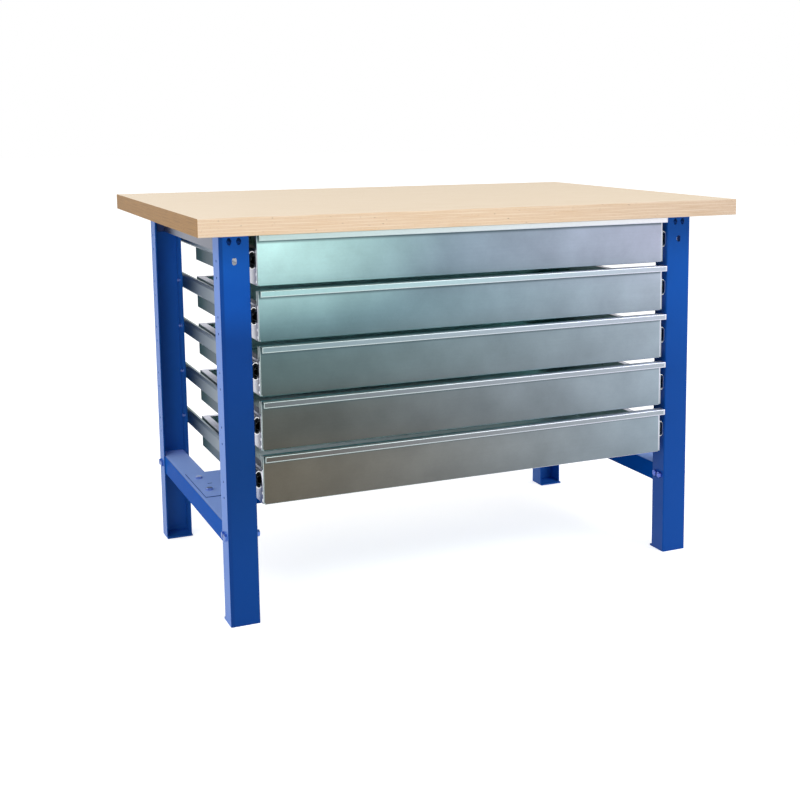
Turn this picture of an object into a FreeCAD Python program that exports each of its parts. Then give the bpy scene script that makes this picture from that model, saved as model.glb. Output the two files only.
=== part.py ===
import FreeCAD, Part
import math
import os

# Workbench with five full-width drawers: a plywood top on a bolted steel frame, and
# folded sheet-metal drawers on three-part ball-bearing slides.  Millimetres.
# +Z is up, +Y is to the back, +X is to the right for someone standing at the drawers.
# The origin is on the floor, at the middle of the bench.
V = FreeCAD.Vector

# Frame and worktop
frame_width = 1080.0          # across the legs' outer faces, along X
frame_depth = 665.0           # across the legs' outer faces, along Y
leg_top = 792.0               # floor to the underside of the worktop
top_thickness = 35.0
top_overhang_x = 60.0         # worktop past the legs at each end
top_overhang_y = 92.5         # worktop past the legs at the front and at the back
top_edge_round = 1.5

# Legs: folded channels, with the web on the outside of the bench
leg_width = 60.0
leg_depth = 48.0
leg_wall = 2.5
leg_fold_radius = 3.0
foot_plate_thickness = 4.0
foot_plate_tongue = 8.0       # foot plate past the open side of the leg
slot_width = 9.5              # upright slot near the top of each front leg's web
slot_height = 15.0
slot_below_top = 57.0
punch_radius = 2.75           # row of round holes through both flanges
punch_step = 33.0             # second hole of each pair, below the first

# Top rails, between front and rear leg under the worktop
rail_height = 51.0
rail_inset = 30.0             # rail's outer face behind the leg's outer face
rail_wall = 2.0
rail_tab = 3.0                # plate that closes each end of the rail
rail_tab_margin = 5.5         # tab past the middle of its outer screw
rail_screw_radius = 3.0
rail_screw_head_radius = 5.0
rail_screw_head_height = 3.0
rail_screw_spacing = 19.0
rail_screw_below_top = 18.0
rail_slot_width = 7.0         # upright slots for these screws in each leg's web
rail_slot_height = 15.0

# Worktop screws, up through the rails' top flange
top_screw_radius = 2.5
top_screw_head_radius = 5.0
top_screw_head_height = 3.0
top_screw_reach = 25.0        # thread inside the worktop
top_screw_y = 220.0           # from the middle of the rail

# Side stretchers: channels open downwards, held between the legs' flanges
stretcher_height = 42.0
stretcher_wall = 2.0
stretcher_below_drawers = 39.2
stretcher_bolt_spacing = 18.0

# Centre stretcher: a wide channel open downwards, lying on both side stretchers
centre_width = 200.0          # along Y
centre_height = 30.0
centre_wall = 2.0
centre_edge_margin = 8.0      # end of its web, inside the side stretcher's outer edge
centre_bolt_spacing = 100.0
locating_slot_length = 10.0
locating_slot_width = 4.0
locating_slot_offset = 13.0   # inside the bolt line

# M8 hexagon bolts and nuts of both kinds of stretcher
bolt_radius = 4.0
bolt_across_flats = 13.0
bolt_head_height = 5.3
nut_height = 6.5
bolt_tail = 1.0               # thread past the nut

# Drawers
drawer_count = 5
front_height = 103.5
drawer_gap = 6.5              # between one drawer's front and the next
top_gap = 5.0                 # between the worktop and the upper drawer's grip
front_wall = 1.2
front_return = 14.0           # folded edges at the sides and bottom of the front
front_ahead = 0.5             # face of the front ahead of the legs' webs
grip_reach = 21.0             # grip ahead of the front's face
grip_drop = 12.0              # downward lip of the grip
tray_wall = 1.0
tray_depth = 520.0
tray_height = 71.8
tray_flange = 14.5            # inward flange along the upper edges
rivet_radius = 2.0
rivet_head_radius = 3.6
rivet_head_height = 1.0
front_rivet_spacing = 15.0    # between the two rivets of each side return
slide_rivet_margin = 25.0     # end rivets from the ends of the inner member

# Slides: outer member on the legs, middle member, inner member on the drawer
slide_thickness = 12.7        # leg flange to drawer side
slide_height = 35.0
slide_above_tray = 50.0       # slide's centre line above the tray's underside
slide_wall = 1.2
slide_end_inset = 7.5         # ends of the outer member inside the legs' outer faces
outer_setback = 1.3           # lips of the outer member short of the drawer's side
middle_setback = 2.3          # lips of the middle member short of the drawer's side
outer_back_chamfer = 4.5
middle_back_chamfer = 2.5
lip_chamfer = 2.0
lip_clearance = 0.7           # each lip to the member that runs inside it
ball_space = 3.0              # between the arms of neighbouring members
ball_clearance = 0.3
ball_pitch = 22.0
balls_in_row = 8
retainer_wall = 0.5
retainer_length = 190.0
retainer_back_chamfer = 3.0
retainer_clearance = 0.4      # back of a retainer to the member behind it
retainer_to_inner = 1.0       # inner retainer's back to the inner member's lips
retainer_to_screw = 3.0       # outer retainer to the front screw's head, drawer fully open
middle_length = 500.0
travel = 490.0                # full opening of a drawer
slide_screw_radius = 2.5
slide_screw_head_radius = 4.5
slide_screw_head_height = 1.0
slide_nut_across_flats = 8.0
slide_nut_height = 4.0

# Clearances
fit = 0.3                     # between pieces that slip into each other
bolt_fit = 0.5                # bolt in its hole
thread_fit = 0.05             # bolt in its nut
run_fit = 0.3                 # between members that run past each other

# Places that follow from the sizes above
half_width = frame_width / 2
half_depth = frame_depth / 2
leg_middle_x = -half_width + leg_width / 2
leg_middle_y = -half_depth + leg_depth / 2
leg_inner_x = -half_width + leg_width
web_inner_y = -half_depth + leg_wall
channel_left = -half_width + leg_wall + fit
channel_right = leg_inner_x - leg_wall - fit
pitch = front_height + drawer_gap
front_face_y = -half_depth - front_ahead
front_bottom = leg_top - top_gap - front_height
tray_front_y = front_face_y + front_wall
tray_bottom = front_bottom + front_wall + fit
tray_left = leg_inner_x + slide_thickness
return_left = tray_left + tray_wall + fit
slide_z = tray_bottom + slide_above_tray
slide_front_y = -half_depth + slide_end_inset
slide_rear_y = half_depth - slide_end_inset
stretcher_top = front_bottom - (drawer_count - 1) * pitch - stretcher_below_drawers
stretcher_bottom = stretcher_top - stretcher_height
rail_left = -half_width + rail_inset


def box(x, y, z):
    """Box between two values along each axis."""
    return Part.makeBox(x[1] - x[0], y[1] - y[0], z[1] - z[0], V(x[0], y[0], z[0]))


def rod(radius, start, direction, length):
    """Cylinder from a point along a direction."""
    return Part.makeCylinder(radius, length, V(*start), V(*direction))


def hexagon(across_flats, start, direction, length):
    """Hexagonal prism from a point along X, Y or Z, either way."""
    radius = across_flats / math.sqrt(3)
    turns = [math.radians(60 * i) for i in range(7)]
    corners = [V(radius * math.cos(a), radius * math.sin(a), 0) for a in turns]
    prism = Part.Face(Part.makePolygon(corners)).extrude(V(0, 0, length))
    prism.Placement = FreeCAD.Placement(V(*start), FreeCAD.Rotation(V(0, 0, 1), V(*direction)))
    return prism


def mirror_x(shape):
    return shape.mirror(V(0, 0, 0), V(1, 0, 0))


def mirror_y(shape):
    return shape.mirror(V(0, 0, 0), V(0, 1, 0))


def both_ends(shapes):
    """The given solids at the left end of the bench, and their mirror images at the right."""
    return shapes + [mirror_x(shape) for shape in shapes]


def four_corners(shapes):
    """The given solids at the front left, and their mirror images at the other corners."""
    left = shapes + [mirror_y(shape) for shape in shapes]
    return both_ends(left)


def round_upright_edges(shape, radius, places):
    """Rounds the upright edges that stand at the given (x, y) places."""
    edges = []
    for edge in shape.Edges:
        centre = edge.BoundBox.Center
        is_upright = edge.BoundBox.ZLength > shape.BoundBox.ZLength / 2
        for x, y in places:
            if is_upright and abs(centre.x - x) < 0.01 and abs(centre.y - y) < 0.01:
                edges.append(edge)
    return shape.makeFillet(radius, edges)


def upright_slot(width, height, centre, reach):
    """Cutter for an upright slot with round ends, running along Y."""
    x, y, z = centre
    straight = (height - width) / 2
    cutter = box((x - width / 2, x + width / 2), (y - reach, y + reach), (z - straight, z + straight))
    for end in (-straight, straight):
        cutter = cutter.fuse(rod(width / 2, (x, y - reach, z + end), (0, 1, 0), 2 * reach))
    return cutter


def stretcher_bolt_places():
    """Y and Z of the two bolts that hold a side stretcher in the front leg."""
    z = stretcher_bottom + stretcher_height / 2
    return [(leg_middle_y + side * stretcher_bolt_spacing / 2, z) for side in (-1, 1)]


def punch_heights():
    """Heights of the holes through the legs' flanges: one pair for each drawer."""
    firsts = [slide_z - i * pitch for i in range(drawer_count)]
    return [z - step for z in firsts for step in (0, punch_step)]


def rail_screw_places():
    """X of the two screws that hold a rail in a leg."""
    return [leg_middle_x + side * rail_screw_spacing / 2 for side in (-1, 1)]


def leg(has_slot):
    """Front left leg: a channel open to the back, with its rail slots and its rows of holes.

    Only a front leg has the upright slot below the rail's screws.
    """
    x = (-half_width, leg_inner_x)
    y = (-half_depth, -half_depth + leg_depth)
    shape = box(x, y, (foot_plate_thickness, leg_top))
    inside = box((x[0] + leg_wall, x[1] - leg_wall), (web_inner_y, y[1] + 1), (0, leg_top + 1))
    shape = shape.cut(inside)
    shape = round_upright_edges(shape, leg_fold_radius, [(x[0], y[0]), (x[1], y[0])])
    cutters = []
    if has_slot:
        centre = (leg_middle_x, -half_depth, leg_top - slot_below_top)
        cutters.append(upright_slot(slot_width, slot_height, centre, leg_wall * 2))
    for screw_x in rail_screw_places():
        centre = (screw_x, -half_depth, leg_top - rail_screw_below_top)
        cutters.append(upright_slot(rail_slot_width, rail_slot_height, centre, leg_wall * 2))
    for z in punch_heights():
        start = (x[0] - 1, leg_middle_y, z)
        cutters.append(rod(punch_radius, start, (1, 0, 0), leg_width + 2))
    for bolt_y, z in stretcher_bolt_places():
        start = (x[0] - 1, bolt_y, z)
        cutters.append(rod(bolt_radius + bolt_fit, start, (1, 0, 0), leg_width + 2))
    return shape.cut(cutters)


def foot_plate():
    """Plate under the front left leg, with a tongue past the leg's open side."""
    y = (-half_depth, -half_depth + leg_depth + foot_plate_tongue)
    shape = box((-half_width, leg_inner_x), y, (0, foot_plate_thickness))
    corners = [(-half_width, y[0]), (leg_inner_x, y[0])]
    edges = [e for e in shape.Edges for c in corners
             if abs(e.BoundBox.Center.x - c[0]) < 0.01 and abs(e.BoundBox.Center.y - c[1]) < 0.01]
    return shape.makeFillet(leg_fold_radius, edges)


def worktop():
    """Plywood top with eased edges and the pilot holes of its screws."""
    x = half_width + top_overhang_x
    y = half_depth + top_overhang_y
    shape = box((-x, x), (-y, y), (leg_top, leg_top + top_thickness))
    shape = shape.makeFillet(top_edge_round, shape.Edges)
    pilots = []
    for start in top_screw_starts():
        pilots.append(rod(top_screw_radius + thread_fit, start, (0, 0, 1), top_screw_length() + 1))
    return shape.cut(pilots)


def top_screw_starts():
    """Undersides of the four worktop screws' heads."""
    x = (rail_left + channel_right) / 2
    z = leg_top - rail_wall - top_screw_head_height
    return [(sx * x, sy * top_screw_y, z) for sx in (-1, 1) for sy in (-1, 1)]


def top_screw_length():
    return top_screw_head_height + rail_wall + top_screw_reach


def top_screws():
    """Four pan-head wood screws, from below."""
    solids = []
    for start in top_screw_starts():
        head = rod(top_screw_head_radius, start, (0, 0, 1), top_screw_head_height)
        shank = rod(top_screw_radius, start, (0, 0, 1), top_screw_length())
        solids.append(head.fuse(shank).removeSplitter())
    return solids


def top_rail():
    """Left rail: a channel open to the inside, closed at each end by a tab against the leg."""
    tab_left = rail_screw_places()[0] - rail_tab_margin
    z = (leg_top - rail_height, leg_top)
    y = (web_inner_y, -web_inner_y)
    shape = box((rail_left, channel_right), y, z)
    hollow = box((rail_left + rail_wall, channel_right + 1), (y[0] + rail_tab, y[1] - rail_tab),
                 (z[0] + rail_wall, z[1] - rail_wall))
    shape = shape.cut(hollow)
    for tab_y in (y[0], y[1] - rail_tab):
        shape = shape.fuse(box((tab_left, channel_right), (tab_y, tab_y + rail_tab), z))
    cutters = []
    for screw_x in rail_screw_places():
        start = (screw_x, y[0] - 1, leg_top - rail_screw_below_top)
        cutters.append(rod(rail_screw_radius + thread_fit, start, (0, 1, 0), rail_tab + 1))
        cutters.append(mirror_y(cutters[-1]))
    for start in top_screw_starts():
        if start[0] < 0:
            cutters.append(rod(top_screw_radius + fit, start, (0, 0, 1), top_screw_length()))
    return shape.removeSplitter().cut(cutters)


def rail_screws():
    """Two button-head screws at the front left leg, through its web into the rail's tab."""
    solids = []
    dome_radius = (rail_screw_head_radius ** 2 + rail_screw_head_height ** 2) / (2 * rail_screw_head_height)
    for screw_x in rail_screw_places():
        z = leg_top - rail_screw_below_top
        face = (screw_x, -half_depth - rail_screw_head_height, z)
        head = rod(rail_screw_head_radius, face, (0, 1, 0), rail_screw_head_height)
        head = head.common(Part.makeSphere(dome_radius, V(screw_x, face[1] + dome_radius, z)))
        socket = hexagon(rail_screw_radius, face, (0, 1, 0), rail_screw_head_height / 2)
        shank = rod(rail_screw_radius, (screw_x, -half_depth, z), (0, 1, 0), leg_wall + rail_tab)
        solids.append(head.cut(socket).fuse(shank))
    return solids


def side_stretcher():
    """Left stretcher: a channel open downwards, from the front leg's web to the rear leg's."""
    x = (channel_left, channel_right)
    y = (web_inner_y + fit, -web_inner_y - fit)
    shape = box(x, y, (stretcher_bottom, stretcher_top))
    hollow = box((x[0] + stretcher_wall, x[1] - stretcher_wall), (y[0] - 1, y[1] + 1),
                 (stretcher_bottom - 1, stretcher_top - stretcher_wall))
    cutters = [hollow]
    for bolt_y, z in stretcher_bolt_places():
        cutters.append(rod(bolt_radius + bolt_fit, (x[0] - 1, bolt_y, z), (1, 0, 0), leg_width))
        cutters.append(mirror_y(cutters[-1]))
    for bolt_y in centre_bolt_places():
        start = (leg_middle_x, bolt_y, stretcher_top - stretcher_wall - 1)
        cutters.append(rod(bolt_radius + bolt_fit, start, (0, 0, 1), stretcher_wall + 2))
    return shape.cut(cutters)


def side_stretcher_bolts():
    """Two through bolts at the front left leg, with their heads on the outer flange."""
    solids = []
    for y, z in stretcher_bolt_places():
        head = hexagon(bolt_across_flats, (-half_width - bolt_head_height, y, z), (1, 0, 0), bolt_head_height)
        length = leg_width + nut_height + bolt_tail
        solids.append(head.fuse(rod(bolt_radius, (-half_width, y, z), (1, 0, 0), length)))
    return solids


def side_stretcher_nuts():
    """The two nuts of those bolts, on the leg's inner flange."""
    solids = []
    for y, z in stretcher_bolt_places():
        nut = hexagon(bolt_across_flats, (leg_inner_x, y, z), (1, 0, 0), nut_height)
        hole = rod(bolt_radius + thread_fit, (leg_inner_x - 1, y, z), (1, 0, 0), nut_height + 2)
        solids.append(nut.cut(hole))
    return solids


def centre_bolt_places():
    """Y of the two bolts at each end of the centre stretcher."""
    return [-centre_bolt_spacing / 2, centre_bolt_spacing / 2]


def centre_stretcher():
    """Wide channel under the drawers; its web runs on over the side stretchers as tongues."""
    tongue = -channel_left - centre_edge_margin
    flange_end = -channel_right - centre_wall
    y = (-centre_width / 2, centre_width / 2)
    top = stretcher_top + centre_wall
    shape = box((-tongue, tongue), y, (stretcher_top, top))
    for flange_y in (y[0], y[1] - centre_wall):
        shape = shape.fuse(box((-flange_end, flange_end), (flange_y, flange_y + centre_wall),
                               (top - centre_height, top)))
    cutters = []
    for bolt_y in centre_bolt_places():
        start = (leg_middle_x, bolt_y, stretcher_top - 1)
        cutters.append(rod(bolt_radius + bolt_fit, start, (0, 0, 1), centre_wall + 2))
    slot_x = leg_middle_x + locating_slot_offset
    cutters.append(box((slot_x - locating_slot_length / 2, slot_x + locating_slot_length / 2),
                       (-locating_slot_width / 2, locating_slot_width / 2),
                       (stretcher_top - 1, top + 1)))
    return shape.removeSplitter().cut(both_ends(cutters))


def centre_stretcher_bolts():
    """Two bolts at the left end, down through both stretchers."""
    solids = []
    top = stretcher_top + centre_wall
    length = centre_wall + stretcher_wall + nut_height + bolt_tail
    for y in centre_bolt_places():
        head = hexagon(bolt_across_flats, (leg_middle_x, y, top), (0, 0, 1), bolt_head_height)
        solids.append(head.fuse(rod(bolt_radius, (leg_middle_x, y, top), (0, 0, -1), length)))
    return solids


def centre_stretcher_nuts():
    """The nuts of those bolts, under the side stretcher's web."""
    solids = []
    z = stretcher_top - stretcher_wall - nut_height
    for y in centre_bolt_places():
        nut = hexagon(bolt_across_flats, (leg_middle_x, y, z), (0, 0, 1), nut_height)
        hole = rod(bolt_radius + thread_fit, (leg_middle_x, y, z - 1), (0, 0, 1), nut_height + 2)
        solids.append(nut.cut(hole))
    return solids


def channel_outline(back, front, height, wall, back_chamfer, opening=None):
    """Closed outline, in X and Z, of a folded channel that is open towards its front.

    With an opening given, the arms end in lips that leave this much height free.
    """
    half = height / 2
    inner = half - wall
    fold = wall * (2 - math.sqrt(2))
    back_inner = back_chamfer - fold
    step = 1 if front > back else -1
    outside = [(back + step * back_chamfer, half), (back, half - back_chamfer)]
    inside = [(back + step * wall, inner - back_inner), (back + step * (wall + back_inner), inner)]
    if opening is None:
        outside = [(front, half)] + outside
        inside = inside + [(front, inner)]
    else:
        lip_inner = lip_chamfer - fold
        lip = opening / 2
        outside = [(front, lip), (front, half - lip_chamfer), (front - step * lip_chamfer, half)] + outside
        inside = inside + [(front - step * (wall + lip_inner), inner),
                           (front - step * wall, inner - lip_inner), (front - step * wall, lip)]
    lower_outside = [(x, -z) for x, z in reversed(outside)]
    lower_inside = [(x, -z) for x, z in reversed(inside)]
    return outside + lower_outside + lower_inside + inside


def run_along_y(outline, y, z):
    """Straight profile along Y, from an outline measured from the left leg's inner face."""
    points = [V(leg_inner_x + px, y[0], z + pz) for px, pz in outline]
    face = Part.Face(Part.makePolygon(points + points[:1]))
    return face.extrude(V(0, y[1] - y[0], 0))


# The slide's section, measured from the leg's face towards the drawer
outer_front = slide_thickness - outer_setback
middle_back = slide_wall + slide_screw_head_height + run_fit
middle_front = slide_thickness - middle_setback
middle_height = slide_height - 2 * (slide_wall + ball_space)
inner_height = middle_height - 2 * (slide_wall + ball_space)
outer_retainer_back = slide_wall + retainer_clearance
inner_retainer_back = middle_back + slide_wall + retainer_clearance
inner_back = inner_retainer_back + retainer_wall + retainer_to_inner
outer_ball_x = (middle_back + middle_front) / 2
inner_ball_x = (inner_back + middle_front) / 2 - slide_wall / 2
outer_ball_z = slide_height / 2 - slide_wall - ball_space / 2
inner_ball_z = middle_height / 2 - slide_wall - ball_space / 2
ball_radius = ball_space / 2 - ball_clearance
inner_end_y = slide_front_y + tray_depth - front_return
retainer_front_y = leg_middle_y + slide_screw_head_radius + retainer_to_screw + travel / 4


def slide_outer():
    """Outer member of the upper left slide, with its screw holes."""
    opening = middle_height + 2 * lip_clearance
    outline = channel_outline(0, outer_front, slide_height, slide_wall, outer_back_chamfer, opening)
    shape = run_along_y(outline, (slide_front_y, slide_rear_y), slide_z)
    cutters = []
    for y in (leg_middle_y, -leg_middle_y):
        start = (leg_inner_x - 1, y, slide_z)
        cutters.append(rod(slide_screw_radius + fit, start, (1, 0, 0), slide_wall + 2))
    return shape.cut(cutters)


def slide_middle():
    """Middle member of the upper left slide."""
    opening = inner_height + 2 * lip_clearance
    outline = channel_outline(middle_back, middle_front, middle_height, slide_wall,
                              middle_back_chamfer, opening)
    return run_along_y(outline, (slide_front_y, slide_front_y + middle_length), slide_z)


def slide_inner():
    """Inner member of the upper left slide, open towards the leg and riveted to the drawer."""
    opening = inner_height - 2 * slide_wall - 2 * lip_chamfer
    outline = channel_outline(slide_thickness, inner_back, inner_height, slide_wall,
                              lip_chamfer, opening)
    shape = run_along_y(outline, (slide_front_y, inner_end_y), slide_z)
    return shape.cut([slide_rivet_hole(y) for y in slide_rivet_places()])


def retainer(back, front, ball_x, ball_z):
    """Ball retainer with its two rows of balls, as separate solids."""
    height = 2 * ball_z + retainer_wall
    outline = channel_outline(back, front, height, retainer_wall, retainer_back_chamfer)
    strip = run_along_y(outline, (retainer_front_y, retainer_front_y + retainer_length), slide_z)
    first = retainer_front_y + (retainer_length - (balls_in_row - 1) * ball_pitch) / 2
    x = leg_inner_x + ball_x
    balls = []
    pockets = []
    for i in range(balls_in_row):
        y = first + i * ball_pitch
        pockets.append(rod(ball_radius + ball_clearance / 2, (x, y, slide_z - height), (0, 0, 1), 2 * height))
        for side in (-1, 1):
            balls.append(Part.makeSphere(ball_radius, V(x, y, slide_z + side * ball_z)))
    return [strip.cut(pockets)] + balls


def retainer_outer():
    """Balls between the outer and middle members; they move a quarter of the drawer's travel."""
    return retainer(outer_retainer_back, middle_front - run_fit, outer_ball_x, outer_ball_z)


def retainer_inner():
    """Balls between the middle and inner members; they move three quarters of the travel."""
    front = middle_front - slide_wall - run_fit
    return retainer(inner_retainer_back, front, inner_ball_x, inner_ball_z)


def slide_screws():
    """Two low-head screws of the upper left slide, one in each leg."""
    solids = []
    length = slide_wall + leg_wall + slide_nut_height + 1
    for y in (leg_middle_y, -leg_middle_y):
        seat = (leg_inner_x + slide_wall, y, slide_z)
        head = rod(slide_screw_head_radius, seat, (1, 0, 0), slide_screw_head_height)
        solids.append(head.fuse(rod(slide_screw_radius, seat, (-1, 0, 0), length)))
    return solids


def slide_nuts():
    """The nuts of those screws, inside the legs' channels."""
    solids = []
    for y in (leg_middle_y, -leg_middle_y):
        seat = (leg_inner_x - leg_wall, y, slide_z)
        nut = hexagon(slide_nut_across_flats, seat, (-1, 0, 0), slide_nut_height)
        hole = rod(slide_screw_radius + thread_fit, seat, (-1, 0, 0), slide_nut_height)
        solids.append(nut.cut(hole))
    return solids


def slide_rivet_places():
    """Y of the rivets between the inner member and the drawer's side."""
    middle = (slide_front_y + inner_end_y) / 2
    return [slide_front_y + slide_rivet_margin, middle, inner_end_y - slide_rivet_margin]


def slide_rivet_hole(y):
    start = (tray_left - slide_wall - 1, y, slide_z)
    return rod(rivet_radius + thread_fit, start, (1, 0, 0), slide_wall + tray_wall + 2)


def front_rivet_places():
    """Y and Z of the rivets between the front's side returns and the tray."""
    y = front_face_y + front_return / 2
    low = tray_bottom + rivet_head_radius * 2
    return [(y, low), (y, low + front_rivet_spacing)]


def front_rivet_hole(y, z):
    start = (tray_left - 1, y, z)
    return rod(rivet_radius + thread_fit, start, (1, 0, 0), tray_wall + fit + front_wall + 2)


def rivet(outer_face, length, y, z):
    """Rivet along X: a shank of the given grip length with a flat head at each end."""
    shank = rod(rivet_radius, (outer_face - rivet_head_height, y, z), (1, 0, 0),
                length + 2 * rivet_head_height)
    for x in (outer_face - rivet_head_height, outer_face + length):
        shank = shank.fuse(rod(rivet_head_radius, (x, y, z), (1, 0, 0), rivet_head_height))
    return shank.removeSplitter()


def drawer_rivets():
    """Rivets on the left side of the upper drawer."""
    solids = []
    for y in slide_rivet_places():
        solids.append(rivet(tray_left - slide_wall, slide_wall + tray_wall, y, slide_z))
    for y, z in front_rivet_places():
        solids.append(rivet(tray_left, tray_wall + fit + front_wall, y, z))
    return solids


def drawer_tray():
    """Upper drawer's tray: a folded box with inward flanges along its upper edges.

    Its front corners are notched for the side returns of the front, which stand inside it.
    """
    x = (tray_left, -tray_left)
    y = (tray_front_y, tray_front_y + tray_depth)
    z = (tray_bottom, tray_bottom + tray_height)
    inner_x = (x[0] + tray_wall, x[1] - tray_wall)
    inner_y = (y[0] + tray_wall, y[1] - tray_wall)
    shape = box(x, y, z)
    hollow = box(inner_x, inner_y, (z[0] + tray_wall, z[1] - tray_wall))
    mouth = box((inner_x[0] + tray_flange, inner_x[1] - tray_flange),
                (inner_y[0], inner_y[1] - tray_flange), (z[1] - 2 * tray_wall, z[1] + 1))
    behind_return = front_face_y + front_return + fit
    flange_end = box((inner_x[0], inner_x[0] + tray_flange), (inner_y[0], behind_return),
                     (z[1] - 2 * tray_wall, z[1] + 1))
    notch = box((inner_x[0], return_left + front_wall + fit), (y[0] - 1, behind_return),
                (z[0] + tray_wall, z[1] + 1))
    cutters = [flange_end, notch]
    cutters += [slide_rivet_hole(rivet_y) for rivet_y in slide_rivet_places()]
    cutters += [front_rivet_hole(rivet_y, rivet_z) for rivet_y, rivet_z in front_rivet_places()]
    return shape.cut([hollow.fuse(mouth)] + both_ends(cutters))


def drawer_front():
    """Upper drawer's front: folded edges behind it, and a grip folded forwards along its top."""
    x = (return_left, -return_left)
    y = (front_face_y, front_face_y + front_return)
    z = (front_bottom, front_bottom + front_height)
    shape = box(x, (y[0], y[0] + front_wall), z)
    shape = shape.fuse(box(x, y, (z[0], z[0] + front_wall)))
    for side_x in (x[0], x[1] - front_wall):
        shape = shape.fuse(box((side_x, side_x + front_wall), y, (tray_bottom + tray_wall + fit, z[1])))
    grip_y = y[0] - grip_reach
    shape = shape.fuse(box(x, (grip_y, y[0] + front_wall), (z[1] - front_wall, z[1])))
    shape = shape.fuse(box(x, (grip_y, grip_y + front_wall), (z[1] - grip_drop, z[1])))
    holes = [front_rivet_hole(rivet_y, rivet_z) for rivet_y, rivet_z in front_rivet_places()]
    return shape.removeSplitter().cut(both_ends(holes))


def save(node, solids):
    """Writes one node: a single solid, or a group of separate solids."""
    for solid in solids:
        if len(solid.Solids) != 1 or not solid.isValid():
            raise ValueError("%s holds a shape that is not one valid solid" % node)
    shape = solids[0].Solids[0]
    if len(solids) > 1:
        shape = Part.makeCompound([solid.Solids[0] for solid in solids])
    shape.exportStep("parts/%s.step" % node)


def lowered(solids, index):
    """Copies of the upper drawer's solids, down at the drawer with this index."""
    copies = []
    for solid in solids:
        copy = solid.copy()
        copy.translate(V(0, 0, -index * pitch))
        copies.append(copy)
    return copies


def save_frame():
    """Everything that stands still, apart from the slides."""
    front_left = leg(True)
    rear_left = mirror_y(leg(False))
    save("leg_front_left", [front_left])
    save("leg_front_right", [mirror_x(front_left)])
    save("leg_rear_left", [rear_left])
    save("leg_rear_right", [mirror_x(rear_left)])
    save("foot_plates", four_corners([foot_plate()]))
    save("worktop", [worktop()])
    save("worktop_screws", top_screws())
    rail = top_rail()
    save("top_rail_left", [rail])
    save("top_rail_right", [mirror_x(rail)])
    save("top_rail_screws", four_corners(rail_screws()))
    stretcher = side_stretcher()
    save("side_stretcher_left", [stretcher])
    save("side_stretcher_right", [mirror_x(stretcher)])
    save("side_stretcher_bolts", four_corners(side_stretcher_bolts()))
    save("side_stretcher_nuts", four_corners(side_stretcher_nuts()))
    save("centre_stretcher", [centre_stretcher()])
    save("centre_stretcher_bolts", both_ends(centre_stretcher_bolts()))
    save("centre_stretcher_nuts", both_ends(centre_stretcher_nuts()))


def save_drawers():
    """The slides and the drawers, numbered from the top."""
    upper = {
        "slide_outer": both_ends([slide_outer()]),
        "slide_retainer_outer": both_ends(retainer_outer()),
        "slide_middle": both_ends([slide_middle()]),
        "slide_retainer_inner": both_ends(retainer_inner()),
        "slide_inner": both_ends([slide_inner()]),
        "drawer_rivets": both_ends(drawer_rivets()),
        "drawer_tray": [drawer_tray()],
        "drawer_front": [drawer_front()],
    }
    for index in range(drawer_count):
        for name, solids in upper.items():
            save("%s_%d" % (name, index + 1), lowered(solids, index))
    screws = both_ends(slide_screws())
    nuts = both_ends(slide_nuts())
    save("slide_screws", [s for i in range(drawer_count) for s in lowered(screws, i)])
    save("slide_nuts", [s for i in range(drawer_count) for s in lowered(nuts, i)])


os.makedirs("parts", exist_ok=True)
save_frame()
save_drawers()
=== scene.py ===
import bmesh
import bpy
import math
from mathutils import Matrix, Vector


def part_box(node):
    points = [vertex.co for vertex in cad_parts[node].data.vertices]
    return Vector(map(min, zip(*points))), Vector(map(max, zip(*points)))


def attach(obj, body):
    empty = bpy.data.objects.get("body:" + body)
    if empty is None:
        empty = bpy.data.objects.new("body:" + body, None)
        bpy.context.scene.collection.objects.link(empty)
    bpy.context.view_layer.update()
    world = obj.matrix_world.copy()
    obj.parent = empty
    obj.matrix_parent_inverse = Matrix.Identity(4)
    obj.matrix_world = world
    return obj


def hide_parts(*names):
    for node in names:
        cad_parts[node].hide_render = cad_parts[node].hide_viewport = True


# Drawer workbench: a plywood top on a bolted frame of blue steel channels, with five galvanised
# sheet drawers on ball-bearing slides.  Metres; the frame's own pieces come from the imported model.
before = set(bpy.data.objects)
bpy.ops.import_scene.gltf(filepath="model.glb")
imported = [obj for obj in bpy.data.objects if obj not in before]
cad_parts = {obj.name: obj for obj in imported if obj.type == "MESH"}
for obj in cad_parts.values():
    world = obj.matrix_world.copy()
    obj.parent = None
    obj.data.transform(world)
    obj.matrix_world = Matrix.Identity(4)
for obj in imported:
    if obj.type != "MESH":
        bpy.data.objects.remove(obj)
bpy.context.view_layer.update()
mm = 0.001

# ---------------------------------------------------------------- camera
# It stands ahead of the left end, a little above the worktop, and looks down the row of drawers.
# The picture is square; the focal length and the centre are given in 1/800 of its width.
picture = 800
focal = 1290.4
centre_x = 501.5
centre_y = 299.9
eye = Vector((-1.1296, -2.7809, 1.0142))
yaw = 0.4534
pitch = 0.1426
roll = 0.0026

camera_data = bpy.data.cameras.new("camera")
camera_data.sensor_width = 36
camera_data.lens = focal * camera_data.sensor_width / picture
camera_data.shift_x = (picture / 2 - centre_x) / picture
camera_data.shift_y = (centre_y - picture / 2) / picture
camera = bpy.data.objects.new("camera", camera_data)
camera.location = eye
camera.rotation_euler = (math.pi / 2 - pitch, roll, -yaw)
bpy.context.scene.collection.objects.link(camera)
bpy.context.scene.camera = camera


# ---------------------------------------------------------------- studio
# A plain pale floor, an even white room and three large soft lamps.  The camera and every
# reflection see the room as white, while its light on matt surfaces is lower, to leave shape.
def linear(code):
    """Linear colour of an sRGB hex value."""
    parts = [int(code[i:i + 2], 16) / 255 for i in (1, 3, 5)]
    return [p / 12.92 if p < 0.04045 else ((p + 0.055) / 1.055) ** 2.4 for p in parts] + [1.0]


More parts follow.
